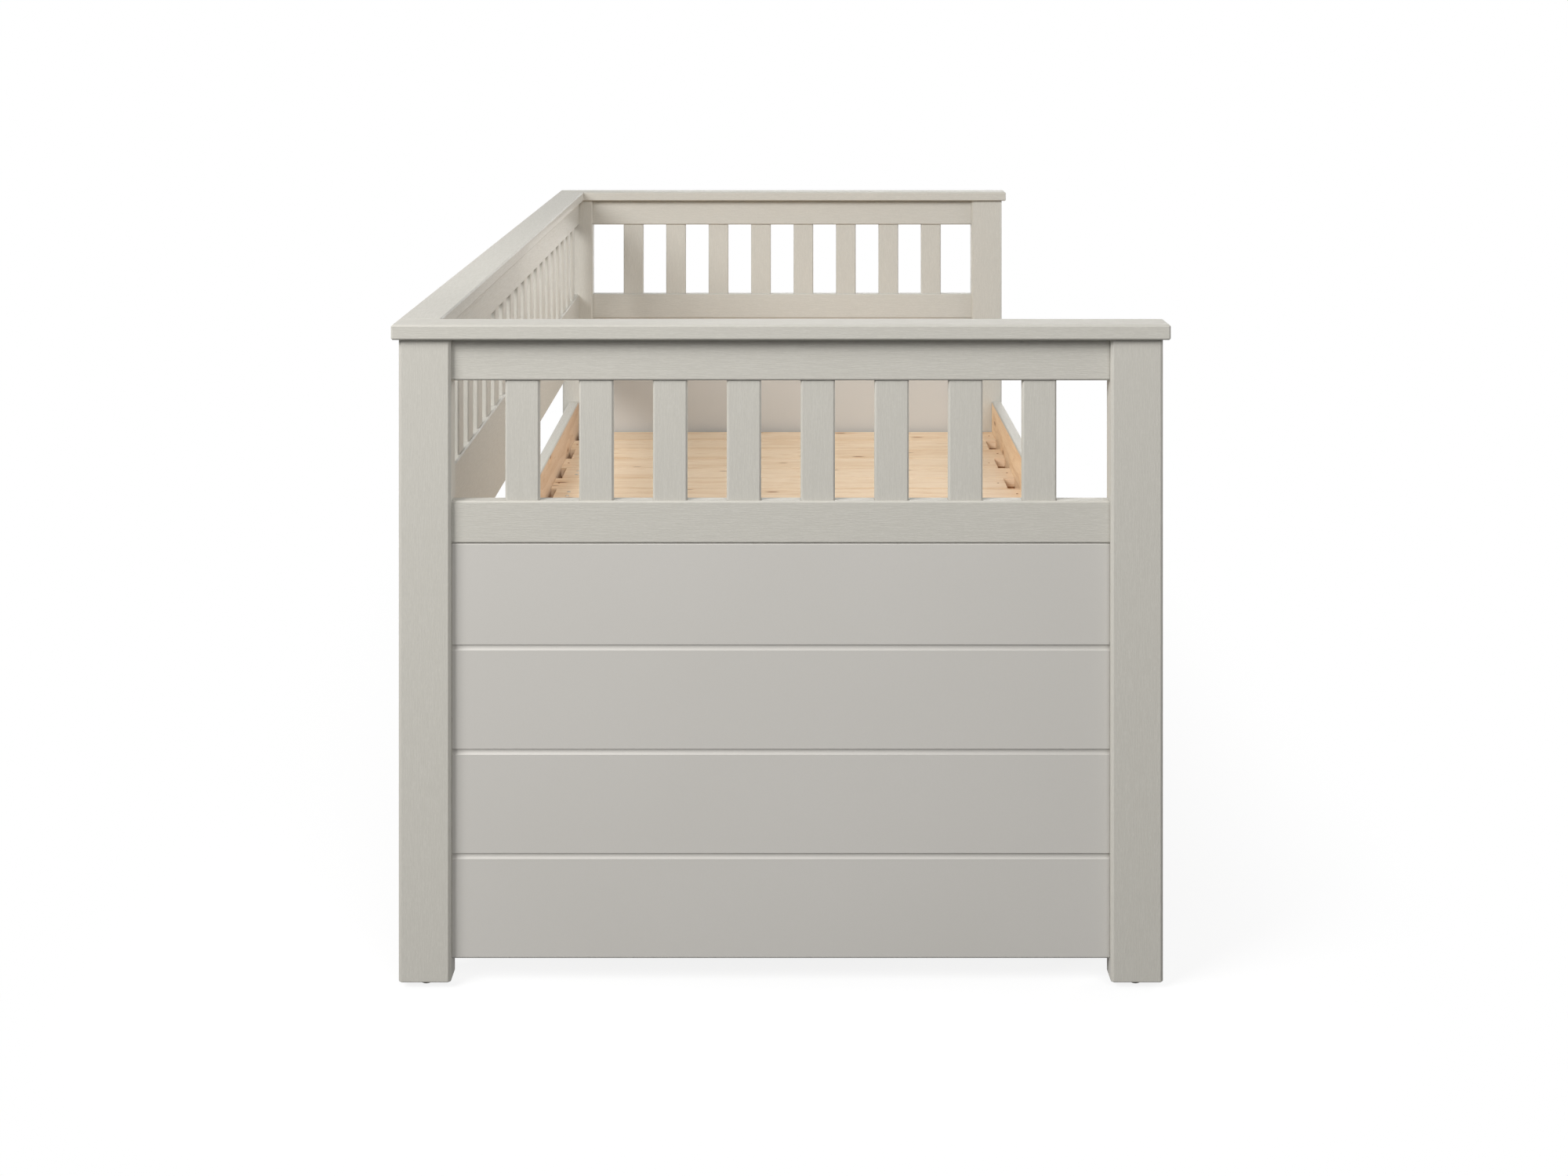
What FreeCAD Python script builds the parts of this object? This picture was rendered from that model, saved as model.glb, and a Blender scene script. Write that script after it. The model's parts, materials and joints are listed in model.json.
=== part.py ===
"""Pull-out daybed: a slatted back, two grooved ends and a base of interleaved slats that slides out to the front.

Millimetres. +X points to the open front, +Y along the bed to its right end, +Z up.
The origin lies on the floor under the middle of the bed.
"""
import FreeCAD, Part
import os
import re

import Sketcher

# Driving dimensions
SIZES = {
    # Posts, caps and the space between them
    "inner_length": 2020,
    "frame_depth": 1000,
    "post_top": 849,
    "post_wide": 68.5,
    "post_thick": 40,
    "post_arris": 3.5,
    "cap_thick": 20,
    "cap_wide": 57,
    "cap_overhang": 8.5,
    "arris": 2,
    # Rails and upright slats
    "rail_thick": 22,
    "rail_high": 55.5,
    "back_lower_rail_high": 145,
    "end_setback": 9,
    "back_setback": 15,
    "slat_opening": 158,
    "slat_wide": 45,
    "slat_thick": 15,
    "slat_pitch": 97,
    "slat_setback": 3.5,
    "slat_socket": 10,
    "least_end_gap": 60,
    "tenon_long": 15,
    "tenon_thick": 10,
    "tenon_shoulder": 8,
    "fit": 0.2,
    # Grooved end panels
    "panel_bottom": 35,
    "panel_thick": 18,
    "panel_recess": 1.5,
    "tongue_thick": 8,
    "tongue_deep": 6,
    "groove_count": 3,
    "bottom_board_trim": 2.2,
    "groove_wide": 8,
    "groove_deep": 3,
    # Side rails and the base of slats
    "gap_below_back": 99,
    "side_rail_high": 160,
    "front_rail_inset": 1,
    "front_rail_gap": 2,
    "well_depth": 68.5,
    "base_slat_count": 21,
    "base_slat_thick": 20,
    "base_slat_gap": 2.8,
    "base_side_gap": 3,
    "base_arris": 1.5,
    "pull_out_slat_short": 12,
    "ledger_wide": 22,
    "ledger_high": 30,
    "tie_wide": 30,
    "tie_high": 38,
    "tie_gap": 2,
    "slip_gap": 0.4,
    # Legs, glides and brackets
    "leg_wide": 60,
    "pull_out_leg_inset": 110,
    "support_leg_spacing": 900,
    "glide_high": 8,
    "glide_wide": 17,
    "glide_taper": 4,
    "bracket_long": 40,
    "bracket_short": 11,
    "bracket_high": 36,
    "bracket_thick": 2.5,
    "bracket_hole": 4.5,
    "bracket_hole_pitch": 20,
    "bracket_hole_edge": 14,
}

# Places worked out from the driving dimensions
POST_X = "(frame_depth - post_wide) / 2"
POST_Y = "(inner_length + post_thick) / 2"
END_WIDTH = "(frame_depth - 2 * post_wide)"
END_RAIL_IN = "(end_setback + rail_thick / 2)"
END_RAIL_Y = f"(inner_length / 2 + post_thick - {END_RAIL_IN})"
PANEL_IN = "(end_setback + panel_recess + panel_thick / 2)"
PANEL_Y = f"(inner_length / 2 + post_thick - {PANEL_IN})"
SLAT_OFFSET = "(slat_setback + slat_thick / 2 - rail_thick / 2)"
BACK_RAIL_X = "(-frame_depth / 2 + back_setback + rail_thick / 2)"
TOP_RAIL_Z = "(post_top - rail_high / 2)"
SLAT_TOP = "(post_top - rail_high)"
SLAT_BOTTOM = f"({SLAT_TOP} - slat_opening)"
LOWER_RAIL_Z = f"({SLAT_BOTTOM} - rail_high / 2)"
BACK_LOWER_RAIL_Z = f"({SLAT_BOTTOM} - back_lower_rail_high / 2)"
PANEL_TOP = f"({SLAT_BOTTOM} - rail_high)"
PANEL_HIGH = f"({PANEL_TOP} - panel_bottom)"
PANEL_Z = f"(({PANEL_TOP} + panel_bottom) / 2)"
BOARD_HIGH = f"(({PANEL_HIGH} + bottom_board_trim) / (groove_count + 1))"
SIDE_RAIL_TOP = f"({SLAT_BOTTOM} - back_lower_rail_high - gap_below_back)"
SIDE_RAIL_Z = f"({SIDE_RAIL_TOP} - side_rail_high / 2)"
REAR_FACE = "(-frame_depth / 2 + back_setback + rail_thick)"
FRONT_FACE = "(frame_depth / 2 - front_rail_inset - rail_thick)"
BASE_TOP = f"({SIDE_RAIL_TOP} - well_depth)"
BASE_UNDER = f"({BASE_TOP} - base_slat_thick)"
BASE_LENGTH = "(inner_length - 2 * base_side_gap)"
BASE_SLAT_WIDE = f"(({BASE_LENGTH} - (base_slat_count - 1) * base_slat_gap) / base_slat_count)"
BASE_PITCH = f"({BASE_SLAT_WIDE} + base_slat_gap)"
REAR_LEDGER_X = f"({REAR_FACE} + ledger_wide / 2)"
FRONT_LEDGER_X = f"({FRONT_FACE} - ledger_wide / 2)"
PULL_OUT_TIE_X = f"({REAR_FACE} + ledger_wide + tie_gap + tie_wide / 2)"
FIXED_TIE_X = f"({FRONT_FACE} - ledger_wide - tie_gap - tie_wide / 2)"
LEDGER_TOP = f"({BASE_UNDER} - slip_gap)"
PULL_OUT_LEG_Y = "(inner_length / 2 - pull_out_leg_inset)"
SUPPORT_LEG_Y = "(support_leg_spacing / 2)"

ENDS = {"left": -1, "right": 1}
SIDES = {"rear": -1, "front": 1}

doc = FreeCAD.newDocument("PullOutDaybed")
sheet = doc.addObject("Spreadsheet::Sheet", "Sizes")
for row, (name, value) in enumerate(SIZES.items(), start=1):
    sheet.set(f"A{row}", name)
    sheet.set(f"B{row}", str(value))
    sheet.setAlias(f"B{row}", name)
doc.recompute()

nodes = []


# Small tools for sketches and features

def expression(formula):
    """Write the sheet's name before each size that a formula uses."""
    return re.sub(r"\b(?!floor\b)[a-z_]+\b", lambda word: "Sizes." + word.group(), formula)


def bind(item, prop, formula):
    """Tie one property of an object to a formula of the sheet's sizes."""
    item.setExpression(prop, expression(formula))


def origin_feature(body, role):
    """Find a plane or an axis of a body's own origin."""
    return next(item for item in body.Origin.OriginFeatures if item.Role == role)


def new_body(label, at, axis=(0, 0, 1), turn=0):
    """Start a piece at a place given by three formulas, turned by a whole angle about an axis."""
    body = doc.addObject("PartDesign::Body", label)
    body.Label = label
    body.Placement.Rotation = FreeCAD.Rotation(FreeCAD.Vector(*axis), turn)
    for letter, formula in zip("xyz", at):
        bind(body, "Placement.Base." + letter, formula)
    return body


def new_sketch(body, plane, offset):
    """Start a sketch on one of the body's own planes, moved by three formulas in the plane's axes."""
    sketch = body.newObject("Sketcher::SketchObject", "Sketch")
    sketch.AttachmentSupport = [(origin_feature(body, plane), "")]
    sketch.MapMode = "FlatFace"
    for letter, formula in zip("xyz", offset):
        bind(sketch, "AttachmentOffset.Base." + letter, formula)
    return sketch


def polygon(sketch, corners):
    """Draw closed straight lines through the corners, level or upright ones held so."""
    points = [FreeCAD.Vector(x, y, 0) for x, y in corners]
    count = len(points)
    for index in range(count):
        sketch.addGeometry(Part.LineSegment(points[index], points[(index + 1) % count]), False)
    for index in range(count):
        following = (index + 1) % count
        sketch.addConstraint(Sketcher.Constraint("Coincident", index, 2, following, 1))
        if points[index].y == points[following].y:
            sketch.addConstraint(Sketcher.Constraint("Horizontal", index))
        elif points[index].x == points[following].x:
            sketch.addConstraint(Sketcher.Constraint("Vertical", index))


def measure(sketch, label, formula, kind, *where):
    """Add a named dimension to a sketch and tie it to a formula."""
    start = 10.0
    number = sketch.addConstraint(Sketcher.Constraint(kind, *where, start))
    sketch.renameConstraint(number, label)
    bind(sketch, "Constraints." + label, formula)


def rectangle(body, plane, wide, high, offset=("0", "0", "0")):
    """A rectangle centred on its sketch's origin."""
    sketch = new_sketch(body, plane, offset)
    polygon(sketch, [(-5, -5), (5, -5), (5, 5), (-5, 5)])
    sketch.addConstraint(Sketcher.Constraint("Symmetric", 0, 1, 1, 2, -1, 1))
    measure(sketch, "wide", wide, "DistanceX", 0, 1, 0, 2)
    measure(sketch, "high", high, "DistanceY", 1, 1, 1, 2)
    return sketch


def feature(body, kind, sketch, length, reverse=False):
    """Pad or pocket a sketch over a length."""
    item = body.newObject("PartDesign::" + kind, kind)
    item.Profile = sketch
    item.Reversed = reverse
    bind(item, "Length", length)
    return item


def pocket(body, sketch, depth, reverse=False):
    """Cut a sketch into the body, and stop if nothing was cut."""
    doc.recompute()
    before = body.Shape.Volume
    item = feature(body, "Pocket", sketch, depth, reverse)
    doc.recompute()
    if not body.Shape.Volume < before:
        raise RuntimeError("a pocket of " + body.Label + " cuts nothing")
    return item


def row_of(body, original, axis, count, pitch):
    """Repeat a feature along an axis of the body."""
    pattern = body.newObject("PartDesign::LinearPattern", "Row")
    pattern.Originals = [original]
    pattern.Direction = (origin_feature(body, axis), [""])
    bind(pattern, "Occurrences", count)
    bind(pattern, "Length", f"({pitch}) * ({count} - 1)")
    body.Tip = pattern
    return pattern


def soften(body, base, amount, wanted):
    """Chamfer the edges of a feature that a test picks."""
    doc.recompute()
    names = [f"Edge{number}" for number, edge in enumerate(base.Shape.Edges, start=1) if wanted(edge)]
    softened = body.newObject("PartDesign::Chamfer", "Arris")
    softened.Base = (base, names)
    bind(softened, "Size", amount)
    return softened


def runs_along(letter):
    """Make a test for straight edges along one axis."""
    def wanted(edge):
        run = edge.Vertexes[-1].Point - edge.Vertexes[0].Point
        return abs(getattr(run, letter)) > 0.99 * run.Length
    return wanted


def finish(body):
    """Count a body among the pieces that are written out."""
    nodes.append(body)
    return body


# Boards, lying and upright

def lying_board(label, wide, high, length, at, arris, turn=0, wanted=runs_along("x")):
    """A board along its own X axis, centred on its place, with chamfered arrises."""
    body = new_body(label, at, turn=turn)
    section = rectangle(body, "YZ_Plane", wide, high, ("0", "0", f"-({length}) / 2"))
    soften(body, feature(body, "Pad", section, length), arris, wanted)
    return body


def upright_board(label, wide, thick, high, at, arris):
    """A board along its own Z axis, standing on its place, with chamfered arrises."""
    body = new_body(label, at)
    section = rectangle(body, "XY_Plane", wide, thick)
    soften(body, feature(body, "Pad", section, high), arris, runs_along("z"))
    return body


# Posts

def mortise(body, plane, wide, high, offset, depth, reverse):
    """A blind slot that takes a tenon or a tongue with the joint's fit all round."""
    sketch = rectangle(body, plane, f"{wide} + 2 * fit", f"{high} + 2 * fit", offset)
    pocket(body, sketch, f"{depth} + fit", reverse)


def post(end, side):
    """A post with mortises for its rails and a groove for the end panel."""
    along = ENDS[end]
    across = SIDES[side]
    at = (f"{across} * {POST_X}", f"{along} * {POST_Y}", "glide_high")
    body = upright_board(f"{end}_{side}_post", "post_wide", "post_thick", "post_top - glide_high", at, "post_arris")

    def joint_in_end_face(wide, high, depth, inward, level):
        """Cut into the face that looks at the other post of the same end."""
        offset = (f"{along} * (post_thick / 2 - {inward})", f"{level} - glide_high", f"{-across} * post_wide / 2")
        mortise(body, "YZ_Plane", wide, high, offset, depth, across > 0)

    tenon_high = "(rail_high - 2 * tenon_shoulder)"
    joint_in_end_face("tenon_thick", tenon_high, "tenon_long", END_RAIL_IN, TOP_RAIL_Z)
    joint_in_end_face("tenon_thick", tenon_high, "tenon_long", END_RAIL_IN, LOWER_RAIL_Z)
    joint_in_end_face("tongue_thick", PANEL_HIGH, "tongue_deep", PANEL_IN, PANEL_Z)
    if side == "rear":
        for high, level in (("rail_high", TOP_RAIL_Z), ("back_lower_rail_high", BACK_LOWER_RAIL_Z)):
            offset = (f"{BACK_RAIL_X} + {POST_X}", f"{level} - glide_high", f"{along} * post_thick / 2")
            tenon = f"({high} - 2 * tenon_shoulder)"
            mortise(body, "XZ_Plane", "tenon_thick", tenon, offset, "tenon_long", along < 0)
    finish(body)


# Rails and upright slats

def slat_count(length):
    """How many upright slats a rail of this length holds."""
    return f"(floor(({length} - 2 * least_end_gap - slat_wide) / slat_pitch) + 1)"


def slotted_rail(label, high, length, at, turn, slots_below):
    """A rail with a tenon on each end and a row of slots for the upright slats."""
    body = lying_board(label, "rail_thick", high, length, at, "arris", turn)
    tenon = rectangle(body, "YZ_Plane", "tenon_thick", f"{high} - 2 * tenon_shoulder",
                      ("0", "0", f"-({length}) / 2 - tenon_long"))
    feature(body, "Pad", tenon, f"{length} + 2 * tenon_long")
    count = slat_count(length)
    side = -1 if slots_below else 1
    offset = (f"-slat_pitch * ({count} - 1) / 2", SLAT_OFFSET, f"{side} * {high} / 2")
    slot = rectangle(body, "XY_Plane", "slat_wide + 2 * fit", "slat_thick + 2 * fit", offset)
    row_of(body, pocket(body, slot, "slat_socket + fit", slots_below), "X_Axis", count, "slat_pitch")
    return body


def upright_slats(label, length, at, turn):
    """A row of upright slats, their ends in the slots of the rails above and below."""
    body = new_body(label, at, turn=turn)
    count = slat_count(length)
    offset = (f"-slat_pitch * ({count} - 1) / 2", SLAT_OFFSET, f"{SLAT_BOTTOM} - slat_socket")
    section = rectangle(body, "XY_Plane", "slat_wide", "slat_thick", offset)
    slat = feature(body, "Pad", section, "slat_opening + 2 * slat_socket")
    softened = soften(body, slat, "arris", runs_along("z"))
    body.AllowCompound = True
    pattern = row_of(body, slat, "X_Axis", count, "slat_pitch")
    pattern.Originals = [slat, softened]
    finish(body)


def end_frame(end):
    """The rails, slats, grooved panel and cap of one end."""
    along = ENDS[end]
    turn = 0 if along < 0 else 180
    rail_y = f"{along} * {END_RAIL_Y}"
    finish(slotted_rail(f"{end}_end_top_rail", "rail_high", END_WIDTH, ("0", rail_y, TOP_RAIL_Z), turn, True))
    lower = slotted_rail(f"{end}_end_lower_rail", "rail_high", END_WIDTH, ("0", rail_y, LOWER_RAIL_Z), turn, False)
    tongue_slot = rectangle(lower, "XY_Plane", END_WIDTH, "tongue_thick + 2 * fit",
                            ("0", f"{PANEL_IN} - {END_RAIL_IN}", "-rail_high / 2"))
    pocket(lower, tongue_slot, "tongue_deep + fit", True)
    finish(lower)
    upright_slats(f"{end}_end_slats", END_WIDTH, ("0", rail_y, "0"), turn)
    end_panel(end, turn)
    cap_y = f"{along} * (inner_length / 2 + post_thick + cap_overhang - cap_wide / 2)"
    finish(lying_board(f"{end}_end_cap", "cap_wide", "cap_thick", "frame_depth + 2 * cap_overhang",
                       ("0", cap_y, "post_top + cap_thick / 2"), "arris", wanted=lambda edge: True))


def end_panel(end, turn):
    """A panel tongued into the posts and the lower rail, with V-grooves across its outer face."""
    body = new_body(f"{end}_end_panel", ("0", f"{ENDS[end]} * {PANEL_Y}", PANEL_Z), turn=turn)
    face = rectangle(body, "YZ_Plane", "panel_thick", PANEL_HIGH, ("0", "0", f"-{END_WIDTH} / 2"))
    board = feature(body, "Pad", face, END_WIDTH)
    soften(body, board, "arris",
           lambda edge: runs_along("x")(edge) and edge.BoundBox.YMax < board.Shape.BoundBox.Center.y)
    side_tongues = rectangle(body, "YZ_Plane", "tongue_thick", PANEL_HIGH,
                             ("0", "0", f"-{END_WIDTH} / 2 - tongue_deep"))
    feature(body, "Pad", side_tongues, f"{END_WIDTH} + 2 * tongue_deep")
    top_tongue = rectangle(body, "XY_Plane", END_WIDTH, "tongue_thick", ("0", "0", f"{PANEL_HIGH} / 2"))
    feature(body, "Pad", top_tongue, "tongue_deep")
    lowest = f"{PANEL_HIGH} / 2 - {BOARD_HIGH} * groove_count"
    groove = new_sketch(body, "YZ_Plane", ("-panel_thick / 2", lowest, f"-{END_WIDTH} / 2"))
    polygon(groove, [(0, 5), (0, -5), (4, 0)])
    groove.addConstraint(Sketcher.Constraint("Symmetric", 0, 1, 0, 2, -1, 1))
    groove.addConstraint(Sketcher.Constraint("PointOnObject", 1, 2, -1))
    measure(groove, "wide", "groove_wide", "DistanceY", 0, 2, 0, 1)
    measure(groove, "deep", "groove_deep", "DistanceX", -1, 1, 1, 2)
    row_of(body, pocket(body, groove, END_WIDTH, True), "Z_Axis", "groove_count", BOARD_HIGH)
    finish(body)


def back_frame():
    """The rails, slats and cap of the back."""
    quarter_turn = 90
    top = (BACK_RAIL_X, "0", TOP_RAIL_Z)
    lower = (BACK_RAIL_X, "0", BACK_LOWER_RAIL_Z)
    finish(slotted_rail("back_top_rail", "rail_high", "inner_length", top, quarter_turn, True))
    finish(slotted_rail("back_lower_rail", "back_lower_rail_high", "inner_length", lower, quarter_turn, False))
    upright_slats("back_slats", "inner_length", (BACK_RAIL_X, "0", "0"), quarter_turn)
    cap_at = ("-frame_depth / 2 - cap_overhang + cap_wide / 2", "0", "post_top + cap_thick / 2")
    cap_long = "inner_length + 2 * (post_thick + cap_overhang - cap_wide)"
    finish(lying_board("back_cap", "cap_wide", "cap_thick", cap_long, cap_at, "arris", quarter_turn))


# Base of the bed

def side_rail(label, x, length):
    """A plain rail along the bed that carries slats."""
    finish(lying_board(label, "rail_thick", "side_rail_high", length, (x, "0", SIDE_RAIL_Z), "arris", 90))


def batten(label, wide, high, x, top):
    """A batten along the bed, under the ends of the base slats."""
    finish(lying_board(label, wide, high, BASE_LENGTH, (x, "0", f"{top} - {high} / 2"), "base_arris", 90))


def base_slat(number):
    """A base slat: odd ones leave with the front rail, even ones stay with the rear rail."""
    pulls_out = number % 2 == 1
    name = "pull_out_slat" if pulls_out else "fixed_slat"
    rear = f"({REAR_FACE} + pull_out_slat_short)" if pulls_out else REAR_FACE
    front = FRONT_FACE if pulls_out else f"({FRONT_FACE} - ledger_wide - tie_gap)"
    place = f"({number} - (base_slat_count + 1) / 2) * {BASE_PITCH}"
    at = (f"({rear} + {front}) / 2", place, f"{BASE_TOP} - base_slat_thick / 2")
    finish(lying_board(f"{name}_{(number + 1) // 2:02d}", BASE_SLAT_WIDE, "base_slat_thick",
                       f"({front} - {rear})", at, "base_arris"))


def leg(label, thick, at, top):
    """A leg board standing on its glide."""
    finish(upright_board(label, thick, "leg_wide", f"{top} - glide_high", (*at, "glide_high"), "arris"))


def glide(label, at):
    """A round glide with a tapered foot."""
    body = new_body(label, (*at, "0"))
    sketch = new_sketch(body, "XY_Plane", ("0", "0", "0"))
    sketch.addGeometry(Part.Circle(), False)
    sketch.addConstraint(Sketcher.Constraint("Coincident", 0, 3, -1, 1))
    measure(sketch, "wide", "glide_wide", "Diameter", 0)
    disc = feature(body, "Pad", sketch, "glide_high")
    soften(body, disc, "glide_taper", lambda edge: edge.BoundBox.ZMax < edge.BoundBox.XLength / 100)
    return body


def bracket(label, at, flip):
    """A steel angle: the long leg lies on a rail's back, the short one on the post."""
    body = new_body(label, at, axis=(1, 0, 0), turn=flip)
    profile = new_sketch(body, "XY_Plane", ("0", "0", "-bracket_high / 2"))
    polygon(profile, [(0, 0), (0, 40), (-3, 40), (-3, 3), (-15, 3), (-15, 0)])
    profile.addConstraint(Sketcher.Constraint("Coincident", 0, 1, -1, 1))
    measure(profile, "long_leg", "bracket_long", "DistanceY", 0, 1, 0, 2)
    measure(profile, "short_leg", "bracket_short", "DistanceX", 5, 1, 5, 2)
    measure(profile, "long_leg_thick", "bracket_thick", "DistanceX", 1, 2, 1, 1)
    measure(profile, "short_leg_thick", "bracket_thick", "DistanceY", 4, 2, 4, 1)
    feature(body, "Pad", profile, "bracket_high")
    hole_pair(body, "YZ_Plane", "bracket_long - bracket_hole_edge")
    hole_pair(body, "XZ_Plane", "-(bracket_short + bracket_thick) / 2")
    return body


def hole_pair(body, plane, across):
    """Two screw holes, one above the other, through a bracket's leg."""
    sketch = new_sketch(body, plane, (across, "0", "0"))
    for height in (-10, 10):
        sketch.addGeometry(Part.Circle(FreeCAD.Vector(0, height, 0), FreeCAD.Vector(0, 0, 1), 2), False)
    sketch.addConstraint(Sketcher.Constraint("PointOnObject", 0, 3, -2))
    sketch.addConstraint(Sketcher.Constraint("Symmetric", 0, 3, 1, 3, -1, 1))
    sketch.addConstraint(Sketcher.Constraint("Equal", 0, 1))
    measure(sketch, "pitch", "bracket_hole_pitch", "DistanceY", 0, 3, 1, 3)
    measure(sketch, "wide", "bracket_hole", "Diameter", 0)
    pocket(body, sketch, "bracket_thick")


def group(label, pieces):
    """Several equal pieces that share one name."""
    item = doc.addObject("Part::Compound", label)
    item.Label = label
    item.Links = pieces
    finish(item)


def daybed():
    """Put every piece of the bed together."""
    for end in ENDS:
        for side in SIDES:
            post(end, side)
        end_frame(end)
    back_frame()

    side_rail("rear_side_rail", BACK_RAIL_X, "inner_length")
    side_rail("front_rail", f"{FRONT_FACE} + rail_thick / 2", "inner_length - 2 * front_rail_gap")
    batten("rear_ledger", "ledger_wide", "ledger_high", REAR_LEDGER_X, LEDGER_TOP)
    batten("front_ledger", "ledger_wide", "ledger_high", FRONT_LEDGER_X, BASE_UNDER)
    batten("fixed_tie_batten", "tie_wide", "tie_high", FIXED_TIE_X, LEDGER_TOP)
    batten("pull_out_tie_batten", "tie_wide", "tie_high", PULL_OUT_TIE_X, LEDGER_TOP)
    for number in range(1, SIZES["base_slat_count"] + 1):
        base_slat(number)

    pull_out_legs = {"left": f"-{PULL_OUT_LEG_Y}", "middle": "0", "right": PULL_OUT_LEG_Y}
    for name, y in pull_out_legs.items():
        leg(f"{name}_pull_out_leg", "ledger_wide", (FRONT_LEDGER_X, y), f"({BASE_UNDER} - ledger_high)")
    support_legs = {end: f"{along} * {SUPPORT_LEG_Y}" for end, along in ENDS.items()}
    for name, y in support_legs.items():
        leg(f"{name}_support_leg", "tie_wide", (FIXED_TIE_X, y), f"({LEDGER_TOP} - tie_high)")

    post_places = [(f"{x} * {POST_X}", f"{y} * {POST_Y}") for x in SIDES.values() for y in ENDS.values()]
    glide_groups = {
        "post_glides": post_places,
        "pull_out_leg_glides": [(FRONT_LEDGER_X, y) for y in pull_out_legs.values()],
        "support_leg_glides": [(FIXED_TIE_X, y) for y in support_legs.values()],
    }
    for name, places in glide_groups.items():
        group(name, [glide(f"{name}_{number}", at) for number, at in enumerate(places, start=1)])

    brackets = []
    for along, flip in ((-1, 0), (1, 180)):
        for level in (TOP_RAIL_Z, BACK_LOWER_RAIL_Z, SIDE_RAIL_Z):
            at = ("-frame_depth / 2 + back_setback", f"{along} * inner_length / 2", level)
            brackets.append(bracket(f"bracket_{len(brackets) + 1}", at, flip))
    group("rail_brackets", brackets)


def check():
    """Stop if any object failed or any piece has no sound shape."""
    for item in doc.Objects:
        if "Invalid" in item.State or "Error" in item.State:
            raise RuntimeError(f"{item.Label} failed: {item.State}")
    for node in nodes:
        if node.Shape.isNull() or not node.Shape.isValid() or not node.Shape.Solids:
            raise RuntimeError(f"{node.Label} has no sound shape")


daybed()
doc.recompute()
check()
os.makedirs("parts", exist_ok=True)
for node in nodes:
    node.Shape.exportStep(f"parts/{node.Label}.step")
print(len(nodes), "pieces written")
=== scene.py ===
"""Looks of the pull-out daybed: brushed paint, smooth grooved panels, bare pine slats, screws and glides."""

import json
import math
import random

import bmesh
import bpy
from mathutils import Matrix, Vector


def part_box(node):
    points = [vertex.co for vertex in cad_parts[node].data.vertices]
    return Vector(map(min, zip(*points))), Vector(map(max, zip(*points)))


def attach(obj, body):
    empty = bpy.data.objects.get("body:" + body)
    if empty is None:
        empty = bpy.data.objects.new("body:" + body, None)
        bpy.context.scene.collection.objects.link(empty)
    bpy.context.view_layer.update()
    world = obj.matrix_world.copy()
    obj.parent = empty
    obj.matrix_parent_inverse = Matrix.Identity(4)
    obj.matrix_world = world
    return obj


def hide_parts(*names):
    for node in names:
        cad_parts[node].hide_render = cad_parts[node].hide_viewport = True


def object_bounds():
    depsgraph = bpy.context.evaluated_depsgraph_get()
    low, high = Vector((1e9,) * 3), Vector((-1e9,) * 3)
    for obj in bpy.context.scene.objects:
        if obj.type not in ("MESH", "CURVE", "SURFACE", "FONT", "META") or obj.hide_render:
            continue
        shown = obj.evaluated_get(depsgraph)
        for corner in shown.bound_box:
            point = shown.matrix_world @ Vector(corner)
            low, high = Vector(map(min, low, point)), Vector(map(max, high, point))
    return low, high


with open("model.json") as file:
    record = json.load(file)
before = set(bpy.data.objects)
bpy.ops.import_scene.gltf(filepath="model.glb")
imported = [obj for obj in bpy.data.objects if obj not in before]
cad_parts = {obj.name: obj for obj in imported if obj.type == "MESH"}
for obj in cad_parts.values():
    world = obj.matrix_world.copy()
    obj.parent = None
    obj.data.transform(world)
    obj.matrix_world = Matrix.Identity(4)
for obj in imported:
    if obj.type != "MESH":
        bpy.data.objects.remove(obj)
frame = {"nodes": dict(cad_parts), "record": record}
cad_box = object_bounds()
MM = 0.001

# Camera, from the photograph's one-point perspective
PHOTO_WIDE = 2000
PHOTO_HIGH = 1500
FOCAL_PIXELS = 2709
HORIZON_PIXEL = 17.5
SENSOR_WIDE = 36
CAMERA_AT = (0.0041, -3.8255, 1.2745)

# Soft light: each lamp's place, what it looks at, its side in metres and its power in watts
SKY_LIGHT = 0.06
LAMPS = {
    "key lamp": ((-2.87, -3.29, 3.15), (0, -1.05, 0.5), 2.2, 228),
    "front fill lamp": ((1.57, -4.42, 3.0), (0, -1.05, 0.5), 2.4, 92),
    "right side lamp": ((2.4, 0.7, 1.6), (-0.5, 0.3, 0.6), 1.6, 38),
    "lamp over the near end": ((0, -0.85, 1.95), (0, 1.0, 1.95), 1.1, 8.3),
    "lamp over the base": ((-0.3, 0.35, 0.86), (-0.3, 0.35, 0), 0.8, 0.75),
    "rear fill lamp": ((0.6, 4.6, 1.0), (0, 1.05, 0.6), 2.4, 55),
    "rear left lamp": ((-3.0, 3.2, 2.4), (-0.4, 0.2, 0.5), 2.2, 75),
}

# Floor: the grey that it throws back, how much of the bed's shadow shows, and how far off that fades out
FLOOR_WIDE = 80
FLOOR_GREY = (0.2, 0.2, 0.2, 1)
FLOOR_ROUGH = 0.9
WHITE = (1, 1, 1, 1)
SHADOW_SHARE = 0.14
SHADOW_FADE = 0.5

# Joining a solid's triangles to whole faces
WELD = 0.01 * MM
FLAT_ANGLE = math.radians(0.5)

# Eased edges of the boards, chamfered feet of the posts and coved grooves of the panels
EASED_EDGE = 0.5 * MM
EASED_STEPS = 2
SHARP_ANGLE = math.radians(20)
PANEL_SHARP_ANGLE = math.radians(60)
EASED_FOOT = 1.2 * MM
FOOT_REACH = 0.1 * MM
GROOVE_ANGLES = (math.radians(50), math.radians(80))
COVE_REACH = 4 * MM
COVE_STEPS = 8

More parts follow.
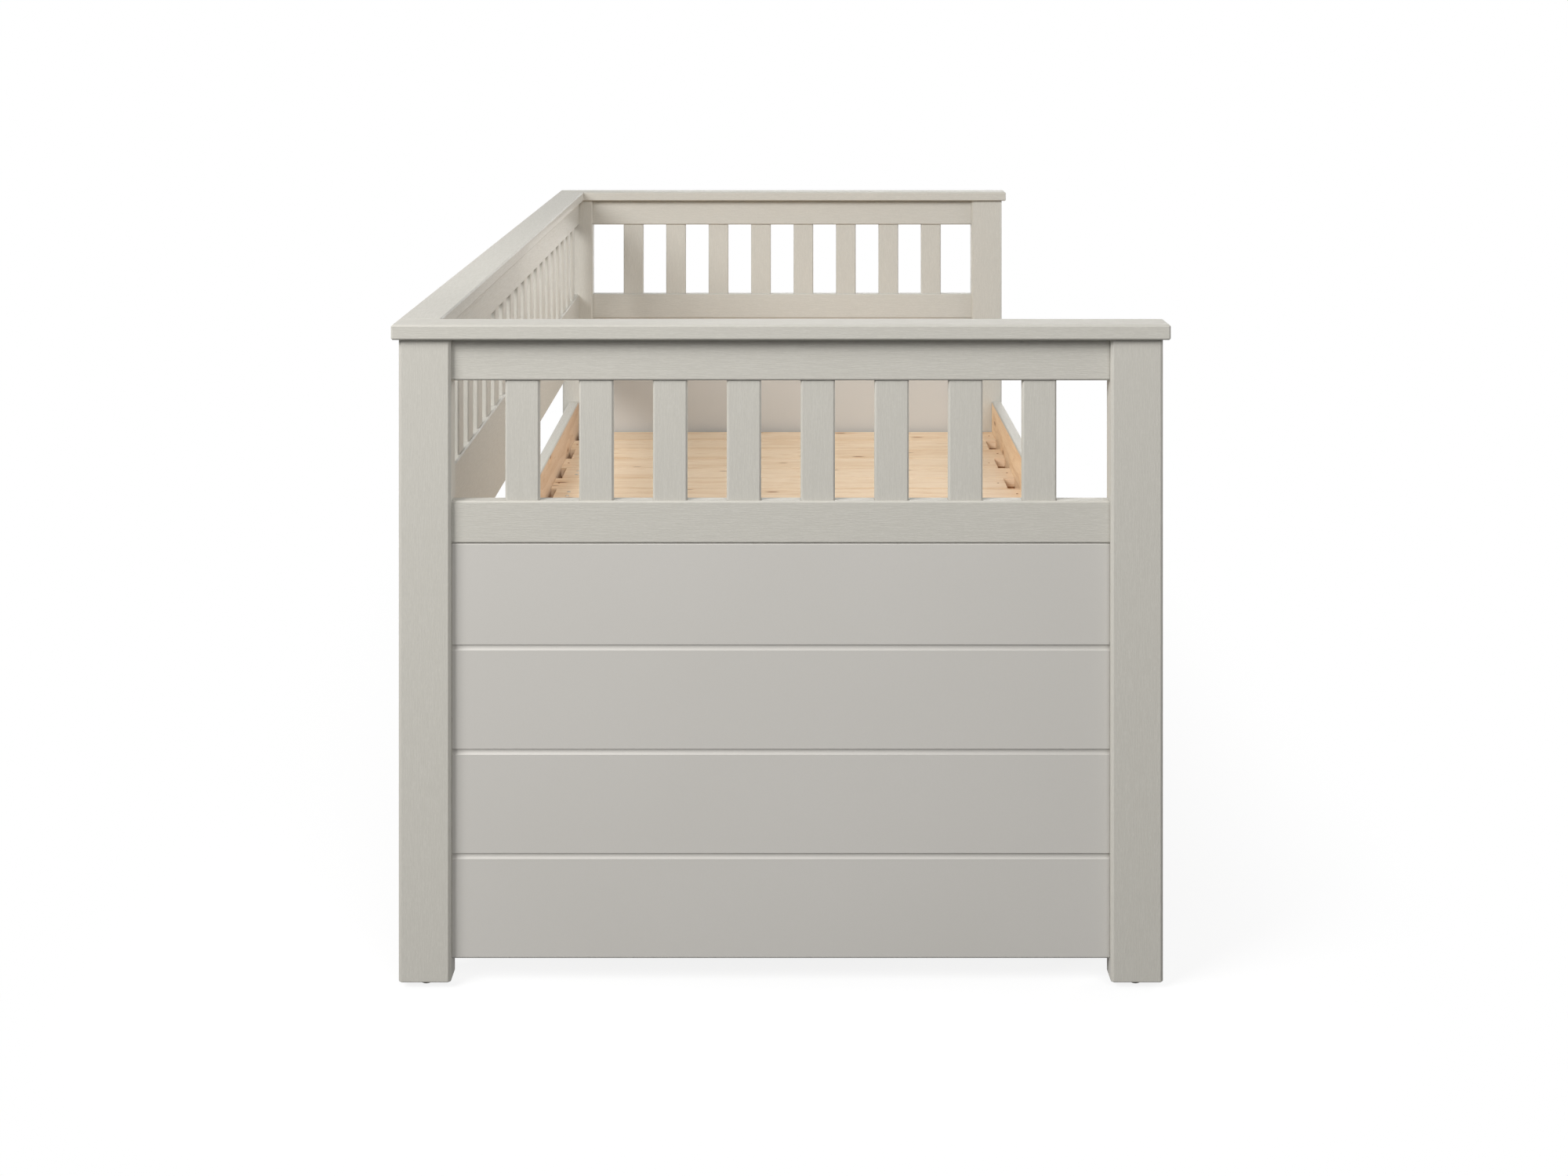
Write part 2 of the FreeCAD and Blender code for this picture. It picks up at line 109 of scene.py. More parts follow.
# Grain: how far it is moved from board to board, which faces count as square to the board or as its
# bare side, and how much darker arrises and end grain are painted. The darker arrises are painted shade in
# the joints between boards; the darker end grain is partly pine's own tone and partly painted shade in the
# notches
BOARD_SHIFT = 6.0
SQUARE_SHARE = 0.98
BARE_SIDE_SHARE = 0.9
ARRIS_PAINTED_SHADE = 0.3
END_GRAIN_TONE_AND_PAINTED_SHADE = 0.75

# Finishes: the gloss of the paint, and the depth of each surface's fine relief
MATT_GLOSS = 0.2
PAINT_RELIEF = 0.05 * MM
PANEL_RELIEF = 0.03 * MM
PINE_RELIEF = 0.08 * MM
STEEL_RELIEF = 0.008 * MM
GLIDE_RELIEF = 0.04 * MM

# Screws: widths of the heads, distances within a pair, and places on the steel angles
PAIR_SCREW_WIDE = 7.5 * MM
PAIR_SCREW_PITCH = 34 * MM
ROW_SCREW_WIDE = 4.5 * MM
BRACKET_SCREW_WIDE = 7 * MM
BRACKET_SCREW_PITCH = 20 * MM
BRACKET_THICK = 2.5 * MM
RAIL_SCREW_IN = 26 * MM
POST_SCREW_OUT = 6.75 * MM

# A screw head of width 1: radius and height of its rings, and its cross recess
HEAD_RINGS = ((0.5, -0.12), (0.5, 0.03), (0.44, 0.08), (0.3, 0.11))
HEAD_TURNS = 16
RECESS_HALF_WIDE = 0.06
RECESS_ARM = 0.25
RECESS_TAPER = 0.8
RECESS_FLOOR = -0.08

# Glides: what carries each group, and their form in shares of a glide's own height and radius
GLIDE_CARRIERS = {
    "post_glides": "_post",
    "pull_out_leg_glides": "_pull_out_leg",
    "support_leg_glides": "_support_leg",
}
GLIDE_TURNS = 32
GLIDE_WELD = 0.001 * MM
GLIDE_SHARP_ANGLE = math.radians(35)
DOME_STEPS = 7
DOME_HIGH = 0.42
COLLAR_LOW = 0.8
COLLAR_HIGH = 0.86
COLLAR_WIDE = 0.94


def rgb(red, green, blue):
    """A colour in the usual 0 to 255 steps, as the linear values that a shader takes."""
    def linear(step):
        share = step / 255
        return share / 12.92 if share <= 0.04045 else ((share + 0.055) / 1.055) ** 2.4
    return (linear(red), linear(green), linear(blue), 1)


# Colours of the finishes
PAINT_LIGHT = rgb(193, 190, 182)
PAINT_PORE = rgb(187, 184, 176)
PAINT_FLECK = rgb(181, 178, 170)
PAINT_WAVE = rgb(183, 180, 171)
PAINT_CLOUD = rgb(186, 183, 174)
PANEL_LIGHT = rgb(194, 191, 186)
PANEL_CLOUD = rgb(188, 185, 179)
PANEL_SPRAY = rgb(186, 183, 176)
PINE_FIBRE = rgb(200, 166, 126)
# Painted shade laid on the arrises and end grain of bare pine; on end grain it also stands for pine's own
# darker tone
PINE_PAINTED_SHADE = rgb(160, 120, 82)
KNOT_HALO = rgb(206, 166, 122)
KNOT_CORE = rgb(134, 88, 52)
PIN_KNOT_CORE = rgb(112, 72, 44)
STEEL_BLOOM = rgb(152, 150, 143)
GLIDE_DARK = rgb(52, 48, 45)
GLIDE_SCUFF = rgb(86, 81, 76)


# Small tools for materials

def new_material(name):
    """Start a material, and give back its tree and its main shader."""
    material = bpy.data.materials.new(name)
    material.use_nodes = True
    tree = material.node_tree
    return material, tree, tree.nodes["Principled BSDF"]


def add(tree, kind, inputs=None, **settings):
    """Add a node: its settings are set, and each input is linked to a socket or gets a value."""
    item = tree.nodes.new(kind)
    for name, value in settings.items():
        setattr(item, name, value)
    for key, value in (inputs or {}).items():
        if isinstance(value, bpy.types.NodeSocket):
            tree.links.new(value, item.inputs[key])
        else:
            item.inputs[key].default_value = value
    return item


def mix(tree, share, first, second):
    """Mix two colours: they are sockets 6 and 7 of a Mix node, and their mixture is its output 2."""
    return add(tree, "ShaderNodeMix", {0: share, 6: first, 7: second}, data_type="RGBA").outputs[2]


def maths(tree, operation, first, second):
    """One step of arithmetic."""
    return add(tree, "ShaderNodeMath", {0: first, 1: second}, operation=operation).outputs[0]


def times(tree, value, share):
    """A share of a value."""
    return maths(tree, "MULTIPLY", value, share)


def spread(tree, value, low, high, to_low=0.0, to_high=1.0):
    """Stretch the part of a value between low and high over a new range, smoothly."""
    inputs = {"Value": value, "From Min": low, "From Max": high, "To Min": to_low, "To Max": to_high}
    return add(tree, "ShaderNodeMapRange", inputs, interpolation_type="SMOOTHSTEP").outputs[0]


def stretched(tree, place, scale):
    """A place stretched by a scale for each axis; the grain runs along X."""
    return add(tree, "ShaderNodeMapping", {"Vector": place, "Scale": scale}).outputs[0]


def noise(tree, place, scale, detail=3.0, roughness=0.5, distortion=0.0):
    """Noise with a scale for each axis."""
    inputs = {"Vector": stretched(tree, place, scale), "Scale": 1, "Detail": detail, "Roughness": roughness,
              "Distortion": distortion}
    return add(tree, "ShaderNodeTexNoise", inputs).outputs["Fac"]


def colour_and_gloss(tree, shader, colour, roughness):
    """Link a pattern of colour and one of roughness to a shader."""
    tree.links.new(colour, shader.inputs["Base Color"])
    tree.links.new(roughness, shader.inputs["Roughness"])


def bumped(tree, shader, height, distance):
    """Give a shader fine relief."""
    inputs = {"Height": height, "Distance": distance, "Strength": 1}
    tree.links.new(add(tree, "ShaderNodeBump", inputs).outputs[0], shader.inputs["Normal"])


def along_grain(tree):
    """A place on a board, measured along its own grain."""
    return add(tree, "ShaderNodeAttribute", attribute_name="grain").outputs["Vector"]


def on_piece(tree):
    """A place on a piece, in the frame that all pieces share."""
    return add(tree, "ShaderNodeTexCoord").outputs["Object"]


# Finishes

def brushed_paint():
    """Warm grey matt paint, brushed along the grain so that the pores of the wood still show."""
    material, tree, shader = new_material("brushed paint")
    place = along_grain(tree)
    pores = noise(tree, place, scale=(46, 740, 740), detail=1)
    flecks = noise(tree, place, scale=(190, 900, 900), detail=0)
    waves = noise(tree, place, scale=(11, 190, 190), detail=2, roughness=0.6)
    clouds = noise(tree, place, scale=(2.5, 9, 9), detail=2)
    pore_lines = spread(tree, pores, 0.36, 0.66)
    fleck_lines = spread(tree, flecks, 0.3, 0.7)
    wave_lines = spread(tree, waves, 0.34, 0.68)
    colour = mix(tree, pore_lines, PAINT_PORE, PAINT_LIGHT)
    colour = mix(tree, fleck_lines, mix(tree, 0.5, colour, PAINT_FLECK), colour)
    colour = mix(tree, wave_lines, mix(tree, 0.15, colour, PAINT_WAVE), colour)
    colour = mix(tree, clouds, mix(tree, 0.3, colour, PAINT_CLOUD), colour)
    colour_and_gloss(tree, shader, colour, spread(tree, pores, 0.3, 0.7, 0.62, 0.5))
    relief = maths(tree, "ADD", pore_lines, times(tree, fleck_lines, 0.7))
    relief = maths(tree, "ADD", relief, times(tree, wave_lines, 0.3))
    shader.inputs["Specular IOR Level"].default_value = MATT_GLOSS
    bumped(tree, shader, relief, PAINT_RELIEF)
    return material


def panel_paint():
    """The same paint, sprayed on a smooth board."""
    material, tree, shader = new_material("panel paint")
    place = on_piece(tree)
    clouds = noise(tree, place, scale=(3, 3, 3), detail=2)
    spray = noise(tree, place, scale=(900, 900, 900), detail=2)
    colour = mix(tree, clouds, PANEL_CLOUD, PANEL_LIGHT)
    colour = mix(tree, spread(tree, spray, 0.3, 0.7, 0.0, 0.25), colour, PANEL_SPRAY)
    colour_and_gloss(tree, shader, colour, spread(tree, spray, 0.3, 0.7, 0.5, 0.58))
    shader.inputs["Specular IOR Level"].default_value = MATT_GLOSS
    bumped(tree, shader, spray, PANEL_RELIEF)
    return material


def knots_in(tree, place, scale, chance, low, high):
    """Knots strewn over the boards: how near a place is to one, and its core, fading from low to high."""
    cells = add(tree, "ShaderNodeTexVoronoi",
                {"Vector": stretched(tree, place, scale), "Scale": 1, "Randomness": 1},
                feature="F1", voronoi_dimensions="2D")
    draw = add(tree, "ShaderNodeSeparateColor", {"Color": cells.outputs["Color"]}).outputs["Red"]
    chosen = maths(tree, "LESS_THAN", draw, chance)
    distance = cells.outputs["Distance"]
    near = times(tree, spread(tree, distance, 0.0, 0.42, 1.0, 0.0), chosen)
    core = times(tree, spread(tree, distance, low, high, 1.0, 0.0), chosen)
    return near, core


def bare_pine(name, pale, deep, ring_tone, knot_chance):
    """Planed pine: growth rings round a pith beside the board, fine fibres, knots that bend the rings, and
    painted shade on arrises and end grain, where it also stands for end grain's own darker tone.
    """
    material, tree, shader = new_material(name)
    place = along_grain(tree)
    swirl, core = knots_in(tree, place, scale=(5.5, 17, 17), chance=knot_chance, low=0.03, high=0.1)
    pin_near, pin_core = knots_in(tree, place, scale=(13, 55, 55), chance=0.03, low=0.06, high=0.16)

    bend = noise(tree, place, scale=(1.6, 16, 16), detail=2)
    phase = maths(tree, "ADD", times(tree, bend, 18.0), times(tree, swirl, 7.0))
    rings = add(tree, "ShaderNodeTexWave",
                {"Vector": place, "Scale": 9, "Distortion": 0.0, "Phase Offset": phase},
                wave_type="RINGS", rings_direction="X", wave_profile="SAW").outputs["Fac"]
    fibres = noise(tree, place, scale=(34, 520, 520), detail=3, roughness=0.6)
    streaks = noise(tree, place, scale=(16, 100, 100), detail=4, roughness=0.7, distortion=0.6)
    clouds = noise(tree, place, scale=(1.2, 7, 7), detail=1)

    colour = mix(tree, clouds, pale, deep)
    colour = mix(tree, spread(tree, rings, 0.45, 1.0, 0.0, 0.36), colour, ring_tone)
    colour = mix(tree, spread(tree, streaks, 0.5, 0.74, 0.0, 0.6), colour, ring_tone)
    colour = mix(tree, spread(tree, fibres, 0.35, 0.65, 0.22, 0.0), colour, PINE_FIBRE)
    colour = mix(tree, times(tree, maths(tree, "ADD", swirl, pin_near), 0.4), colour, KNOT_HALO)
    colour = mix(tree, core, colour, KNOT_CORE)
    colour = mix(tree, times(tree, pin_core, 0.85), colour, PIN_KNOT_CORE)
    # Painted shade: arrises darkened as if shaded in the joints, end grain darkened for its own tone and for
    # the shade in the notches
    shade = add(tree, "ShaderNodeAttribute", attribute_name="shade").outputs["Fac"]
    colour = mix(tree, shade, colour, PINE_PAINTED_SHADE)
    colour_and_gloss(tree, shader, colour, spread(tree, fibres, 0.3, 0.7, 0.62, 0.5))
    relief = maths(tree, "SUBTRACT", fibres, times(tree, rings, 0.4))
    bumped(tree, shader, relief, PINE_RELIEF)
    return material


def plated_steel(name, shade, bloomed, dull):
    """Plated steel with a faint cloudy bloom; dull is its roughness where it is cleanest."""
    material, tree, shader = new_material(name)
    place = on_piece(tree)
    bloom = noise(tree, place, scale=(90, 90, 90), detail=2)
    scratches = noise(tree, place, scale=(900, 160, 900), detail=2)
    colour = mix(tree, spread(tree, bloom, 0.3, 0.7), shade, bloomed)
    rough = spread(tree, bloom, 0.3, 0.7, dull, dull + 0.1)
    colour_and_gloss(tree, shader, colour, maths(tree, "ADD", rough, times(tree, scratches, 0.1)))
    shader.inputs["Metallic"].default_value = 1
    bumped(tree, shader, scratches, STEEL_RELIEF)
    return material


def glide_plastic():
    """Dark moulded plastic, scuffed where it slides."""
    material, tree, shader = new_material("glide plastic")
    place = on_piece(tree)
    grain = noise(tree, place, scale=(1500, 1500, 1500), detail=2)
    scuffs = noise(tree, place, scale=(260, 700, 260), detail=3)
    colour = mix(tree, spread(tree, scuffs, 0.5, 0.75), GLIDE_DARK, GLIDE_SCUFF)
    colour_and_gloss(tree, shader, colour, spread(tree, scuffs, 0.4, 0.75, 0.42, 0.65))
    bumped(tree, shader, grain, GLIDE_RELIEF)
    return material


PAINT = brushed_paint()
PANEL = panel_paint()
PINE = bare_pine("bare pine", rgb(240, 219, 192), rgb(233, 208, 176), rgb(208, 170, 128), knot_chance=0.14)
FRONT_RAIL_PINE = bare_pine("front rail pine", rgb(238, 211, 177), rgb(230, 199, 161), rgb(202, 158, 113),
                            knot_chance=0.3)
# Painted shade: a darker copy of the rail pine for the rear rail's inner face, which gets less light
SHADED_REAR_RAIL_PINE = bare_pine("shaded rear rail pine", rgb(208, 184, 159), rgb(200, 173, 145), rgb(172, 134, 98),
                           knot_chance=0.3)
# A darker, ruddier pine for the ledgers and battens: partly their own wood, partly painted shade for the
# notches where they show between the slats
SHADED_BATTEN_PINE = bare_pine("shaded batten pine", rgb(186, 142, 102), rgb(174, 128, 88), rgb(148, 102, 66),
                        knot_chance=0.2)
BRIGHT_STEEL = plated_steel("bright screw steel", rgb(214, 212, 206), STEEL_BLOOM, dull=0.28)
BROWN_STEEL = plated_steel("brown screw steel", rgb(168, 122, 84), rgb(140, 98, 64), dull=0.5)
BRACKET_STEEL = plated_steel("bracket steel", rgb(190, 189, 184), STEEL_BLOOM, dull=0.35)
GLIDE = glide_plastic()
BOARD_FINISHES = {"painted_timber": PAINT, "painted_panel": PANEL, "pine": PINE}

SLOT_OF = {row["node"]: row["material_slot"] for row in frame["record"]["subparts"]}
BODY_OF = {node: body for body, nodes in frame["record"]["behaviour"]["bodies"].items() for node in nodes}


def place_piece(name, mesh, body, slot, *replaced):
    """Show a finished mesh, let it ride on its body and stand for the solids that it finishes."""
    piece = bpy.data.objects.new(name, mesh)
    bpy.context.scene.collection.objects.link(piece)
    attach(piece, body)
    if replaced:
        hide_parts(*replaced)


# Boards

def centre(node):
    """The middle of a solid's box."""
    low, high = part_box(node)
    return (low + high) / 2


def grain_axes(node):
    """The axes of a board in the order along, across and through."""
    if node.endswith("_slats"):
        return (2, 0, 1)
    low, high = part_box(node)
    size = high - low
    return tuple(sorted(range(3), key=lambda axis: -size[axis]))


def joined_faces(node):
    """A copy of a solid's mesh with its loose triangles joined to whole faces."""
    shape = bmesh.new()
    shape.from_mesh(frame["nodes"][node].data)
    bmesh.ops.remove_doubles(shape, verts=shape.verts, dist=WELD)
    bmesh.ops.dissolve_limit(shape, angle_limit=FLAT_ANGLE, verts=shape.verts, edges=shape.edges)
    return shape


def ease_edges(shape, sharp_angle):
    """Round every sharp edge a little, as sanding does."""
    sharp = [edge for edge in shape.edges
             if len(edge.link_faces) == 2 and edge.calc_face_angle() > sharp_angle]
    bmesh.ops.bevel(shape, geom=sharp, offset=EASED_EDGE, segments=EASED_STEPS, profile=0.5,
                    affect="EDGES", clamp_overlap=True)


def ease_foot(shape, level):
    """Take the edges off the foot of a post, so that it doesn't split when it is dragged."""
    foot = [edge for edge in shape.edges
            if all(abs(point.co.z - level) < FOOT_REACH for point in edge.verts)]
    bmesh.ops.bevel(shape, geom=foot, offset=EASED_FOOT, segments=1, affect="EDGES", clamp_overlap=True)


def cove_grooves(shape):
    """Round the bottoms of a panel's grooves to shallow coves."""
    low, high = GROOVE_ANGLES
    valleys = [edge for edge in shape.edges
               if len(edge.link_faces) == 2 and low < -edge.calc_face_angle_signed() < high]
    coved = bmesh.ops.bevel(shape, geom=valleys, offset=COVE_REACH, segments=COVE_STEPS, profile=0.5,
                            affect="EDGES", clamp_overlap=True)
    for face in coved["faces"]:
        face.smooth = True


def lay_grain(mesh, axes, seed):
    """Note each point's place along, across and through its board, moved by a step that differs by board."""
    chance = random.Random(seed)
    shift = Vector([chance.uniform(-BOARD_SHIFT, BOARD_SHIFT) for _ in axes])
    grain = mesh.attributes.new("grain", "FLOAT_VECTOR", "POINT")
    for point, entry in zip(mesh.vertices, grain.data):
        entry.vector = Vector([point.co[axis] for axis in axes]) + shift


def mark_end_grain_and_painted_shade(mesh, along):
    """Note how much painted shade each face of a board takes: some on its arrises, for the shade in the
    joints, and more on its end grain, for the shade in the notches and end grain's own darker tone.
    """
    shade = mesh.attributes.new("shade", "FLOAT", "FACE")
    for face, entry in zip(mesh.polygons, shade.data):
        if abs(face.normal[along]) > SQUARE_SHARE:
            entry.value = END_GRAIN_TONE_AND_PAINTED_SHADE
        elif max(map(abs, face.normal)) < SQUARE_SHARE:
            entry.value = ARRIS_PAINTED_SHADE


def finished_board(node, bare_side=None, bare_finish=None):
    """A board with eased edges and its own run of grain; one side may be left unpainted."""
    shape = joined_faces(node)
    if node.endswith("_post"):
        ease_foot(shape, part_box(node)[0].z)
    if node.endswith("_panel"):
        cove_grooves(shape)
        ease_edges(shape, PANEL_SHARP_ANGLE)
    else:
        ease_edges(shape, SHARP_ANGLE)
    # Ledgers and battens take the darker pine, which carries painted shade for the notches
    finish = SHADED_BATTEN_PINE if node.endswith(("_ledger", "_batten")) else BOARD_FINISHES[SLOT_OF[node]]
    mesh = bpy.data.meshes.new(node + "_finished")
    mesh.materials.append(finish)
    if bare_side is not None:
        mesh.materials.append(bare_finish)
        for face in shape.faces:
            if face.normal.dot(bare_side) > BARE_SIDE_SHARE:
                face.material_index = 1
    shape.to_mesh(mesh)
    shape.free()
    axes = grain_axes(node)
    lay_grain(mesh, axes, node)
    mark_end_grain_and_painted_shade(mesh, axes[0])
    place_piece(node + "_finished", mesh, BODY_OF[node], SLOT_OF[node], node)


BARE_SIDES = {
    "front_rail": (Vector((-1, 0, 0)), FRONT_RAIL_PINE),
    "rear_side_rail": (Vector((1, 0, 0)), SHADED_REAR_RAIL_PINE),
}
for board in sorted(frame["nodes"]):
    if SLOT_OF[board] in BOARD_FINISHES:
        finished_board(board, *BARE_SIDES.get(board, ()))


# Glides

def turned(profile, middle):
    """A closed turned shape from radius and height pairs, round an upright axis."""
    shape = bmesh.new()
    points = [shape.verts.new((middle.x + radius, middle.y, height)) for radius, height in profile]
    lines = [shape.edges.new(pair) for pair in zip(points, points[1:])]
    bmesh.ops.spin(shape, geom=points + lines, cent=middle, axis=(0, 0, 1), angle=math.tau,
                   steps=GLIDE_TURNS, use_merge=True)
    bmesh.ops.remove_doubles(shape, verts=shape.verts, dist=GLIDE_WELD)
    bmesh.ops.recalc_face_normals(shape, faces=shape.faces)
    return shape


def glide_centres(node):
    """The middle of each glide in a group: one under every post or leg that carries it."""
    return [centre(name) for name in sorted(frame["nodes"]) if name.endswith(GLIDE_CARRIERS[node])]


def domed_glides(node):
    """Moulded glides with a collar against the wood and a domed foot."""
    low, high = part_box(node)
    top = high.z
    places = glide_centres(node)
    apart = max(place.y for place in places) - min(place.y for place in places)
    radius = (high.y - low.y - apart) / 2
    angles = [step * math.pi / (2 * DOME_STEPS) for step in range(DOME_STEPS + 1)]
    dome = [(radius * math.sin(angle), DOME_HIGH * top * (1 - math.cos(angle))) for angle in angles]
    neck = COLLAR_WIDE * radius
    collar = [(radius, COLLAR_LOW * top), (neck, COLLAR_HIGH * top), (neck, top), (0, top)]
    whole = bmesh.new()
    mesh = bpy.data.meshes.new(node + "_domed")
    for place in places:
        shape = turned(dome + collar, Vector((place.x, place.y, 0)))
        shape.to_mesh(mesh)
        shape.free()
        whole.from_mesh(mesh)
    for face in whole.faces:
        face.smooth = True
    whole.to_mesh(mesh)
    whole.free()
    mesh.set_sharp_from_angle(angle=GLIDE_SHARP_ANGLE)
    mesh.materials.append(GLIDE)
    place_piece(node + "_domed", mesh, BODY_OF[node], "glide", node)


for glides in GLIDE_CARRIERS:
    domed_glides(glides)

# The steel angles are shown as the solids that they are
frame["nodes"]["rail_brackets"].data.materials.clear()
frame["nodes"]["rail_brackets"].data.materials.append(BRACKET_STEEL)


# Screws

def following_pairs(items):
    """Each item of a closed row with the one after it."""
    return list(zip(items, items[1:] + items[:1]))


def recess_outline():
    """The corners of a cross, in order."""
    half = RECESS_HALF_WIDE
    arm = RECESS_ARM
    quarter = [(arm, -half), (arm, half), (half, half)]
    corners = []
    for _ in range(4):
        corners.extend(quarter)
        quarter = [(-y, x) for x, y in quarter]
    return corners


def screw_head():
    """A low domed head of width 1 with a cross recess, standing on its own XY plane and facing up."""
    shape = bmesh.new()
    angles = [math.tau * turn / HEAD_TURNS for turn in range(HEAD_TURNS)]
    loops = [[shape.verts.new((radius * math.cos(angle), radius * math.sin(angle), height))
              for angle in angles] for radius, height in HEAD_RINGS]
    for lower, upper in zip(loops, loops[1:]):
        for low_pair, high_pair in zip(following_pairs(lower), following_pairs(upper)):
            shape.faces.new((low_pair[0], low_pair[1], high_pair[1], high_pair[0]))
    top = HEAD_RINGS[-1][1]
    outline = recess_outline()
    cross = [shape.verts.new((x, y, top)) for x, y in outline]
    floor = [shape.verts.new((x * RECESS_TAPER, y * RECESS_TAPER, RECESS_FLOOR)) for x, y in outline]
    rim = [shape.edges.get(pair) for pair in following_pairs(loops[-1])]
    mouth = [shape.edges.new(pair) for pair in following_pairs(cross)]
    bmesh.ops.triangle_fill(shape, edges=rim + mouth, use_beauty=True)
    inside = [face for face in shape.faces if all(vert in cross for vert in face.verts)]
    bmesh.ops.delete(shape, geom=inside, context="FACES_ONLY")
    for mouth_pair, floor_pair in zip(following_pairs(cross), following_pairs(floor)):
        shape.faces.new((mouth_pair[0], mouth_pair[1], floor_pair[1], floor_pair[0]))
    shape.faces.new(floor)
    shape.faces.new(loops[0])
    bmesh.ops.recalc_face_normals(shape, faces=shape.faces)
    mesh = bpy.data.meshes.new("screw_head")
    shape.to_mesh(mesh)
    shape.free()
    return bpy.data.objects.new("screw_head", mesh)


def screw_tree():
    """Geometry nodes that set a screw head on each point, facing along the point's own direction."""
    tree = bpy.data.node_groups.new("driven screws", "GeometryNodeTree")
    inputs = {"Geometry": "NodeSocketGeometry", "Head": "NodeSocketObject", "Head width": "NodeSocketFloat",
              "Finish": "NodeSocketMaterial", "Seed": "NodeSocketInt"}
    for name, kind in inputs.items():
        tree.interface.new_socket(name, in_out="INPUT", socket_type=kind)
    tree.interface.new_socket("Geometry", in_out="OUTPUT", socket_type="NodeSocketGeometry")
    given = add(tree, "NodeGroupInput")
    facing = add(tree, "GeometryNodeInputNamedAttribute", {"Name": "facing"}, data_type="FLOAT_VECTOR")
    upright = add(tree, "FunctionNodeAlignRotationToVector", {"Vector": facing.outputs[0]}, axis="Z")
    # Of a random draw, input 3 is the upper limit and output 1 the result where it is a plain number
    turn = add(tree, "FunctionNodeRandomValue", {"Seed": given.outputs["Seed"], 3: math.tau},
               data_type="FLOAT")
    spin = add(tree, "FunctionNodeAxisAngleToRotation", {"Axis": (0, 0, 1), "Angle": turn.outputs[1]})
    spun = add(tree, "FunctionNodeRotateRotation",
               {"Rotation": upright.outputs[0], "Rotate By": spin.outputs[0]}, rotation_space="LOCAL")
    head = add(tree, "GeometryNodeObjectInfo", {"Object": given.outputs["Head"]})
    set_heads = add(tree, "GeometryNodeInstanceOnPoints",
                    {"Points": given.outputs["Geometry"], "Instance": head.outputs["Geometry"],
                     "Rotation": spun.outputs[0], "Scale": given.outputs["Head width"]})
    real = add(tree, "GeometryNodeRealizeInstances", {"Geometry": set_heads.outputs[0]})
    coated = add(tree, "GeometryNodeSetMaterial",
                 {"Geometry": real.outputs[0], "Material": given.outputs["Finish"]})
    add(tree, "NodeGroupOutput", {"Geometry": coated.outputs[0]})
    return tree


def drive_screws(name, body, width, finish, screws, seed):
    """Set screws of one kind, each given by place and direction, as one plain mesh that rides on a body."""
    points = bpy.data.meshes.new(name + "_points")
    points.from_pydata([place for place, _ in screws], [], [])
    direction = points.attributes.new("facing", "FLOAT_VECTOR", "POINT")
    for entry, (_, facing) in zip(direction.data, screws):
        entry.vector = facing
    holder = bpy.data.objects.new(name + "_points", points)
    bpy.context.scene.collection.objects.link(holder)
    modifier = holder.modifiers.new("screws", "NODES")
    modifier.node_group = SCREW_TREE
    values = {"Head": SCREW_HEAD, "Head width": width, "Finish": finish, "Seed": seed}
    for socket in SCREW_TREE.interface.items_tree:
        if socket.in_out == "INPUT" and socket.name in values:
            modifier[socket.identifier] = values[socket.name]
    ready = holder.evaluated_get(bpy.context.evaluated_depsgraph_get())
    mesh = bpy.data.meshes.new_from_object(ready)
    bpy.data.objects.remove(holder)
    place_piece(name, mesh, body, "bracket_steel")


def on_slat(slat, batten, shift=0.0):
    """A screw on a base slat's top, facing up, over the middle of the batten that it goes into."""
    return Vector((centre(batten).x, centre(slat).y + shift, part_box(slat)[1].z)), Vector((0, 0, 1))


def base_slats(kind):
    """The base slats that belong to one of the two frames."""
    return [node for node in sorted(frame["nodes"]) if node.startswith(kind)]


def tie_screws():
    """Pairs of screws through the pull-out slats into their tie batten."""
    return [on_slat(slat, "pull_out_tie_batten", side * PAIR_SCREW_PITCH / 2)
            for slat in base_slats("pull_out_slat_") for side in (-1, 1)]


def front_ledger_screws():
    """A row of screws through the pull-out slats into the front ledger."""
    return [on_slat(slat, "front_ledger") for slat in base_slats("pull_out_slat_")]


def fixed_slat_screws():
    """Two rows of screws through the fixed slats, into their tie batten and the rear ledger."""
    return [on_slat(slat, batten)
            for slat in base_slats("fixed_slat_") for batten in ("fixed_tie_batten", "rear_ledger")]


def bracket_screws():
    """Screws through both flanges of the steel angles, into the rails and the rear posts."""
    screws = []
    ends = (("left_rear_post", 1, 1), ("right_rear_post", 0, -1))
    for rail in ("back_top_rail", "back_lower_rail", "rear_side_rail"):
        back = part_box(rail)[0].x
        for post, corner, inward in ends:
            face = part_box(post)[corner].y
            for step in (-0.5, 0.5):
                height = centre(rail).z + step * BRACKET_SCREW_PITCH
                on_rail = Vector((back - BRACKET_THICK, face + inward * RAIL_SCREW_IN, height))
                on_post = Vector((back - POST_SCREW_OUT, face + inward * BRACKET_THICK, height))
                screws.append((on_rail, Vector((-1, 0, 0))))
                screws.append((on_post, Vector((0, inward, 0))))
    return screws


SCREW_HEAD = screw_head()
SCREW_TREE = screw_tree()
drive_screws("pull_out_tie_screws", "pull_out_frame", PAIR_SCREW_WIDE, BRIGHT_STEEL,
             tie_screws(), seed=3)
drive_screws("front_ledger_screws", "pull_out_frame", ROW_SCREW_WIDE, BROWN_STEEL,
             front_ledger_screws(), seed=5)
drive_screws("fixed_slat_screws", "daybed_frame", ROW_SCREW_WIDE, BROWN_STEEL,
             fixed_slat_screws(), seed=7)
drive_screws("rail_bracket_screws", "daybed_frame", BRACKET_SCREW_WIDE, BRIGHT_STEEL,
             bracket_screws(), seed=11)


# Stage, light and camera

